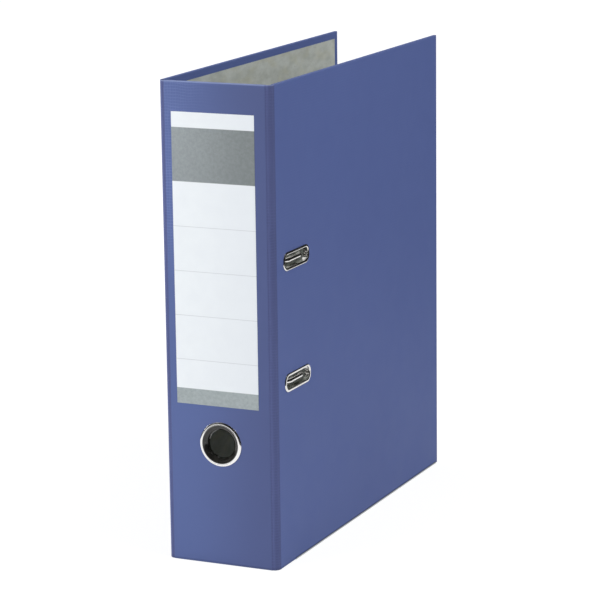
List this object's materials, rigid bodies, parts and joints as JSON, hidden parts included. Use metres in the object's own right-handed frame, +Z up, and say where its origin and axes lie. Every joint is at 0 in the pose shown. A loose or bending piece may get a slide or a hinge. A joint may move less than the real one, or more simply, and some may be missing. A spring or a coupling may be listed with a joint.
{
  "type": "lever arch file",
  "caption": "Standing lever arch file for A4 sheets: blue covered board case, lever mechanism with two arches, finger ring, slotted front cover and steel bottom guards.",
  "frame": {"origin": "centre of the bounding box at its bottom, on the surface that the file stands on", "axes": "+Z up along the spine; the spine faces -Y; the front cover is at +X"},
  "size_m": [0.0816, 0.2819, 0.318],
  "materials": {
    "covering_blue": "satin embossed film",
    "greyboard": "matte",
    "lining_paper": "matte mottled",
    "label_paper": "matte printed",
    "nickel_steel": "polished",
    "zinc_steel": "satin",
    "roller_plastic": "satin"
  },
  "bodies": {
    "rear_cover": {"rear_board": "greyboard", "rear_wrap": "covering_blue", "rear_lining": "lining_paper", "rear_edge_guard": "nickel_steel", "base_plate": "zinc_steel", "base_rivets": "zinc_steel", "upper_post": "nickel_steel", "lower_post": "nickel_steel", "lever_pivot_pin": "zinc_steel"},
    "spine": {"spine_board": "greyboard", "spine_wrap": "covering_blue", "spine_lining": "lining_paper", "spine_label": "label_paper", "finger_ring": "nickel_steel", "finger_ring_backing": "zinc_steel", "front_fold_strip": "covering_blue", "rear_fold_strip": "covering_blue"},
    "front_cover": {"front_board": "greyboard", "front_wrap": "covering_blue", "front_lining": "lining_paper", "front_edge_guard": "nickel_steel", "upper_eyelet": "nickel_steel", "lower_eyelet": "nickel_steel"},
    "arches": {"rocker_shaft": "nickel_steel", "upper_arch": "nickel_steel", "lower_arch": "nickel_steel"},
    "lever": {"lever_arm": "nickel_steel", "roller_pin": "zinc_steel"},
    "roller": {"lever_roller": "roller_plastic"},
    "compressor": {"compressor_bar": "zinc_steel"}
  },
  "joints": [
    {"name": "rear_fold", "type": "hinge", "parent": "rear_cover", "child": "spine", "pos_m": [-0.03865, -0.1387, 0], "axis": [0, 0, -1], "range_deg": [0, 90], "deforming": ["rear_fold_strip"]},
    {"name": "front_fold", "type": "hinge", "parent": "spine", "child": "front_cover", "pos_m": [0.03865, -0.1387, 0], "axis": [0, 0, -1], "range_deg": [0, 110], "deforming": ["front_fold_strip"]},
    {"name": "arch_swing", "type": "hinge", "parent": "rear_cover", "child": "arches", "pos_m": [-0.0325, -0.12105, 0.162], "axis": [0, 0, -1], "range_deg": [0, 30]},
    {"name": "lever_lift", "type": "hinge", "parent": "rear_cover", "child": "lever", "pos_m": [-0.0285, -0.13145, 0.194], "axis": [0, -1, 0], "range_deg": [0, 90]},
    {"name": "roller_spin", "type": "hinge", "parent": "lever", "child": "roller", "pos_m": [-0.0272, -0.11305, 0.184], "axis": [0, 1, 0], "continuous": true},
    {"name": "compressor_slide", "type": "slide", "parent": "rear_cover", "child": "compressor", "axis": [1, 0, 0], "range_m": [0, 0.04]}
  ],
  "couplings": [
    {"joint": "lever_lift", "follows": "rear_fold", "ratio": 1},
    {"joint": "arch_swing", "follows": "rear_fold", "ratio": 0.33333}
  ]
}
